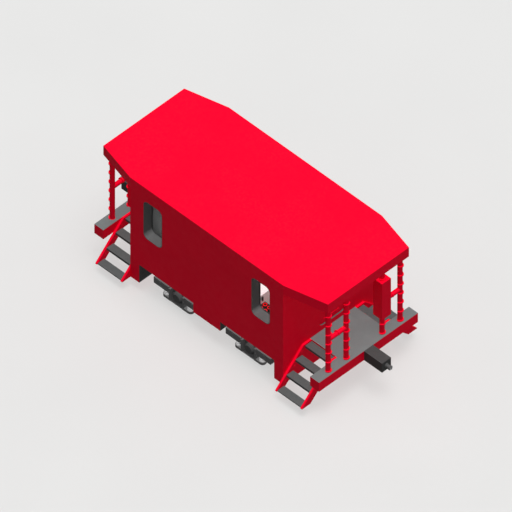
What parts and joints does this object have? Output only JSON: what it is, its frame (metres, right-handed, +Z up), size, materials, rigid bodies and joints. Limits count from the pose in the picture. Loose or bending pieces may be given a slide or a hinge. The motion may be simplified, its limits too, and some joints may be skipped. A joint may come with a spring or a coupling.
{
  "type": "caboose",
  "caption": "Short railway caboose with a flat roof, open end platforms, steps, collared posts, hinged end doors and swivelling trucks.",
  "frame": {"origin": "on the ground under the middle of the car, where the wheel flanges stand", "axes": "+X along the car towards end A, which has the brake housing; +Y across it to the left; +Z up"},
  "size_m": [7.524, 3.2, 3],
  "materials": {
    "red_paint": "satin red paint",
    "deck_grey": "worn grey deck paint",
    "tread_grey": "worn grey step plate",
    "drawbar_grey": "dark grey paint",
    "nose_steel": "bare steel",
    "frame_dark": "dark underframe paint",
    "truck_iron": "rough casting",
    "spring_steel": "bright spring steel",
    "wheel_steel": "rolled steel",
    "casing_grey": "grey paint",
    "shutter_grey": "grey paint",
    "clear_glass": "clear",
    "floor_wood": "boards",
    "white_enamel": "gloss white",
    "black_enamel": "gloss black",
    "hot_red": "red ring"
  },
  "bodies": {
    "carbody": {"roof": "red_paint", "side_wall_right": "red_paint", "side_wall_left": "red_paint", "end_wall_a": "red_paint", "end_wall_b": "red_paint", "floor": "floor_wood", "centre_sill": "frame_dark", "cross_beams": "frame_dark", "centre_plates": "frame_dark", "equipment_box": "frame_dark", "platform_decks": "deck_grey", "end_beams": "red_paint", "drawbars": "drawbar_grey", "coupling_noses": "nose_steel", "step_stringers_a": "red_paint", "step_stringers_b": "red_paint", "step_treads_a": "tread_grey", "step_treads_b": "tread_grey", "railing_posts_a": "red_paint", "railing_posts_b": "red_paint", "cross_rails_a": "red_paint", "cross_rails_b": "red_paint", "brake_housing": "red_paint", "window_casings": "casing_grey", "window_panes": "clear_glass", "window_shutter": "shutter_grey", "thresholds": "deck_grey", "door_hinge_pins": "nose_steel", "galley_cupboard": "white_enamel", "camp_stove": "black_enamel", "stove_rings": "hot_red"},
    "door_a": {"door_a": "red_paint", "door_a_pane": "clear_glass", "door_a_knobs": "nose_steel"},
    "door_b": {"door_b": "red_paint", "door_b_pane": "clear_glass", "door_b_knobs": "nose_steel"},
    "truck_a": {"truck_a_side_frames": "truck_iron", "truck_a_springs": "spring_steel", "truck_a_axle_boxes": "truck_iron", "truck_a_bolster": "truck_iron"},
    "truck_b": {"truck_b_side_frames": "truck_iron", "truck_b_springs": "spring_steel", "truck_b_axle_boxes": "truck_iron", "truck_b_bolster": "truck_iron"},
    "wheelset_a1": {"wheelset_a1_axle": "wheel_steel", "wheelset_a1_wheels": "wheel_steel"},
    "wheelset_a2": {"wheelset_a2_axle": "wheel_steel", "wheelset_a2_wheels": "wheel_steel"},
    "wheelset_b1": {"wheelset_b1_axle": "wheel_steel", "wheelset_b1_wheels": "wheel_steel"},
    "wheelset_b2": {"wheelset_b2_axle": "wheel_steel", "wheelset_b2_wheels": "wheel_steel"}
  },
  "joints": [
    {"name": "door_a_hinge", "type": "hinge", "parent": "carbody", "child": "door_a", "pos_m": [2.018, -0.418, 1.9], "axis": [0, 0, 1], "range_deg": [0, 90]},
    {"name": "door_b_hinge", "type": "hinge", "parent": "carbody", "child": "door_b", "pos_m": [-2.018, 0.418, 1.9], "axis": [0, 0, 1], "range_deg": [0, 90]},
    {"name": "truck_a_swivel", "type": "hinge", "parent": "carbody", "child": "truck_a", "pos_m": [1, 0, 0.66], "axis": [0, 0, 1], "range_deg": [-6, 6]},
    {"name": "truck_b_swivel", "type": "hinge", "parent": "carbody", "child": "truck_b", "pos_m": [-1, 0, 0.66], "axis": [0, 0, 1], "range_deg": [-6, 6]},
    {"name": "wheelset_a1_spin", "type": "hinge", "parent": "truck_a", "child": "wheelset_a1", "pos_m": [1.325, 0, 0.2625], "axis": [0, 1, 0], "continuous": true},
    {"name": "wheelset_a2_spin", "type": "hinge", "parent": "truck_a", "child": "wheelset_a2", "pos_m": [0.675, 0, 0.2625], "axis": [0, 1, 0], "continuous": true},
    {"name": "wheelset_b1_spin", "type": "hinge", "parent": "truck_b", "child": "wheelset_b1", "pos_m": [-1.325, 0, 0.2625], "axis": [0, 1, 0], "continuous": true},
    {"name": "wheelset_b2_spin", "type": "hinge", "parent": "truck_b", "child": "wheelset_b2", "pos_m": [-0.675, 0, 0.2625], "axis": [0, 1, 0], "continuous": true}
  ]
}
